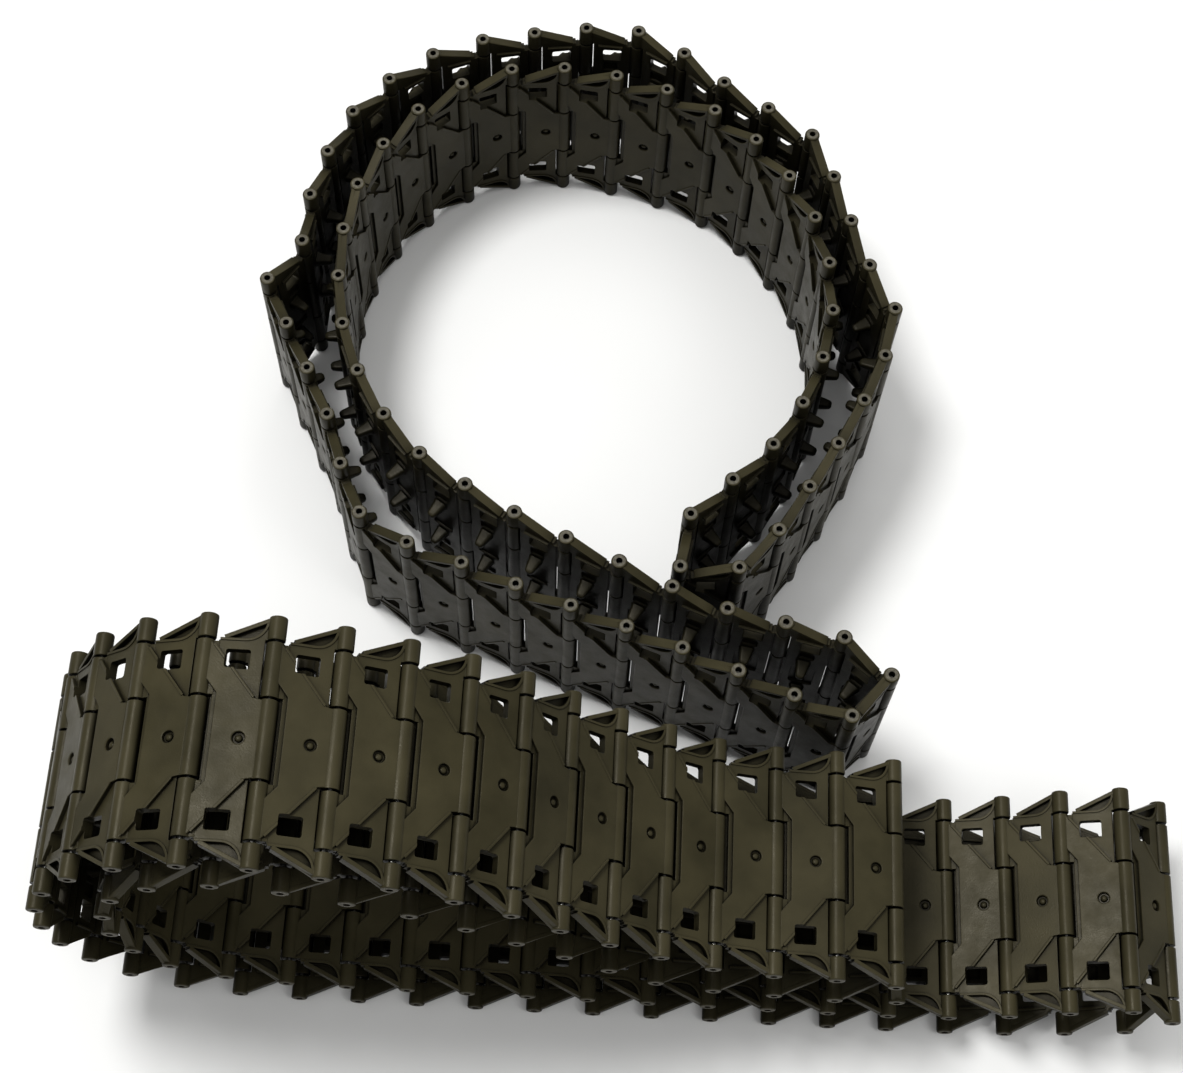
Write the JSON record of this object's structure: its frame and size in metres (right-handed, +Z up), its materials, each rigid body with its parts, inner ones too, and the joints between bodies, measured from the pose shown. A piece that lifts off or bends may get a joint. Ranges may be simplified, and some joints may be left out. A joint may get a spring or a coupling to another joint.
{
  "type": "pair of tank track belts",
  "caption": "Two closed track belts of hinged moulded links on steel pins for a tracked model: one looped on its edge, one folded over flat.",
  "frame": {"origin": "middle of the pair's box, on the surface that both belts stand on", "axes": "+Z up, +X along the folded belt towards its thin end, +Y from the folded belt to the looped belt"},
  "size_m": [0.1996, 0.1982, 0.0865],
  "materials": {
    "track_plastic": "semi-gloss moulded",
    "pin_steel": "bright drawn wire"
  },
  "bodies": {
    "looped_belt": {"looped_front_fold": "track_plastic", "looped_inner_a": "track_plastic", "looped_inner_b": "track_plastic", "looped_inner_c": "track_plastic", "looped_outer_a": "track_plastic", "looped_outer_b": "track_plastic", "looped_outer_c": "track_plastic", "looped_outer_d": "track_plastic", "looped_tail_end": "track_plastic", "looped_tail_fold": "track_plastic"},
    "folded_belt": {"folded_inner_a": "track_plastic", "folded_inner_b": "track_plastic", "folded_inner_c": "track_plastic", "folded_low_fold": "track_plastic", "folded_outer_a": "track_plastic", "folded_outer_b": "track_plastic", "folded_outer_c": "track_plastic", "folded_top_fold": "track_plastic"},
    "top_01": {"top_link_01": "track_plastic", "top_pin_01": "pin_steel"},
    "top_02": {"top_link_02": "track_plastic", "top_pin_02": "pin_steel"},
    "top_03": {"top_link_03": "track_plastic", "top_pin_03": "pin_steel"},
    "top_04": {"top_link_04": "track_plastic", "top_pin_04": "pin_steel"},
    "top_05": {"top_link_05": "track_plastic", "top_pin_05": "pin_steel"},
    "top_06": {"top_link_06": "track_plastic", "top_pin_06": "pin_steel"},
    "top_07": {"top_link_07": "track_plastic", "top_pin_07": "pin_steel"},
    "top_08": {"top_link_08": "track_plastic", "top_pin_08": "pin_steel"},
    "top_09": {"top_link_09": "track_plastic", "top_pin_09": "pin_steel"},
    "top_10": {"top_link_10": "track_plastic", "top_pin_10": "pin_steel"},
    "top_11": {"top_link_11": "track_plastic", "top_pin_11": "pin_steel"},
    "top_12": {"top_link_12": "track_plastic", "top_pin_12": "pin_steel"},
    "low_01": {"low_link_01": "track_plastic", "low_pin_01": "pin_steel"},
    "low_02": {"low_link_02": "track_plastic", "low_pin_02": "pin_steel"},
    "low_03": {"low_link_03": "track_plastic", "low_pin_03": "pin_steel"},
    "low_04": {"low_link_04": "track_plastic", "low_pin_04": "pin_steel"},
    "tail_01": {"tail_link_01": "track_plastic", "tail_pin_01": "pin_steel"},
    "tail_02": {"tail_link_02": "track_plastic", "tail_pin_02": "pin_steel"},
    "tail_03": {"tail_link_03": "track_plastic", "tail_pin_03": "pin_steel"},
    "tail_04": {"tail_link_04": "track_plastic", "tail_pin_04": "pin_steel"},
    "tail_05": {"tail_link_05": "track_plastic", "tail_pin_05": "pin_steel"}
  },
  "joints": [
    {"name": "folded_slide", "type": "slide", "parent": "looped_belt", "child": "folded_belt", "axis": [0, -1, 0], "range_m": [0, 0.06]},
    {"name": "top_hinge_01", "type": "hinge", "parent": "top_02", "child": "top_01", "pos_m": [0.03611, -0.07848, 0.03636], "axis": [0, -1, 0], "range_deg": [0, 33]},
    {"name": "top_hinge_02", "type": "hinge", "parent": "top_03", "child": "top_02", "pos_m": [0.02523, -0.07848, 0.03701], "axis": [0, -1, 0], "range_deg": [0, 11]},
    {"name": "top_hinge_03", "type": "hinge", "parent": "top_04", "child": "top_03", "pos_m": [0.01467, -0.07848, 0.03973], "axis": [0, -1, 0], "range_deg": [0, 4]},
    {"name": "top_hinge_04", "type": "hinge", "parent": "top_05", "child": "top_04", "pos_m": [0.00552, -0.07848, 0.04565], "axis": [0, -1, 0], "range_deg": [0, 18]},
    {"name": "top_hinge_05", "type": "hinge", "parent": "top_06", "child": "top_05", "pos_m": [-0.0032, -0.07848, 0.05219], "axis": [0, -1, 0], "range_deg": [0, 18]},
    {"name": "top_hinge_06", "type": "hinge", "parent": "top_07", "child": "top_06", "pos_m": [-0.01148, -0.07848, 0.05928], "axis": [0, -1, 0], "range_deg": [0, 18]},
    {"name": "top_hinge_07", "type": "hinge", "parent": "top_08", "child": "top_07", "pos_m": [-0.01923, -0.07848, 0.06694], "axis": [0, -1, 0], "range_deg": [0, 31]},
    {"name": "top_hinge_08", "type": "hinge", "parent": "top_09", "child": "top_08", "pos_m": [-0.02807, -0.07848, 0.07332], "axis": [0, -1, 0], "range_deg": [0, 31]},
    {"name": "top_hinge_09", "type": "hinge", "parent": "top_10", "child": "top_09", "pos_m": [-0.03776, -0.07848, 0.07831], "axis": [0, -1, 0], "range_deg": [0, 28]},
    {"name": "top_hinge_10", "type": "hinge", "parent": "top_11", "child": "top_10", "pos_m": [-0.04794, -0.07848, 0.08221], "axis": [0, -1, 0], "range_deg": [0, 28]},
    {"name": "top_hinge_11", "type": "hinge", "parent": "top_12", "child": "top_11", "pos_m": [-0.05847, -0.07848, 0.08501], "axis": [0, -1, 0], "range_deg": [0, 37]},
    {"name": "top_hinge_12", "type": "hinge", "parent": "folded_belt", "child": "top_12", "pos_m": [-0.06938, -0.07848, 0.08505], "axis": [0, -1, 0], "range_deg": [0, 42]},
    {"name": "low_hinge_01", "type": "hinge", "parent": "low_02", "child": "low_01", "pos_m": [0.07941, -0.07848, 0.02141], "axis": [0, -1, 0], "range_deg": [0, 29]},
    {"name": "low_hinge_02", "type": "hinge", "parent": "low_03", "child": "low_02", "pos_m": [0.0696, -0.07848, 0.01665], "axis": [0, -1, 0], "range_deg": [0, 15]},
    {"name": "low_hinge_03", "type": "hinge", "parent": "low_04", "child": "low_03", "pos_m": [0.05927, -0.07848, 0.01319], "axis": [0, -1, 0], "range_deg": [0, 9]},
    {"name": "low_hinge_04", "type": "hinge", "parent": "folded_belt", "child": "low_04", "pos_m": [0.04841, -0.07848, 0.01223], "axis": [0, -1, 0], "range_deg": [0, 18]},
    {"name": "tail_hinge_01", "type": "hinge", "parent": "tail_02", "child": "tail_01", "pos_m": [0.01612, -0.00633, 0.0206], "axis": [0, 0, -1], "range_deg": [0, 21]},
    {"name": "tail_hinge_02", "type": "hinge", "parent": "tail_03", "child": "tail_02", "pos_m": [0.02364, 0.00156, 0.0206], "axis": [0, 0, -1], "range_deg": [0, 9]},
    {"name": "tail_hinge_03", "type": "hinge", "parent": "tail_04", "child": "tail_03", "pos_m": [0.02917, 0.01096, 0.0206], "axis": [0, 0, -1], "range_deg": [0, 12]},
    {"name": "tail_hinge_04", "type": "hinge", "parent": "tail_05", "child": "tail_04", "pos_m": [0.03298, 0.02117, 0.0206], "axis": [0, 0, -1], "range_deg": [0, 12]},
    {"name": "tail_hinge_05", "type": "hinge", "parent": "looped_belt", "child": "tail_05", "pos_m": [0.03493, 0.03189, 0.0206], "axis": [0, 0, -1], "range_deg": [0, 8]}
  ]
}
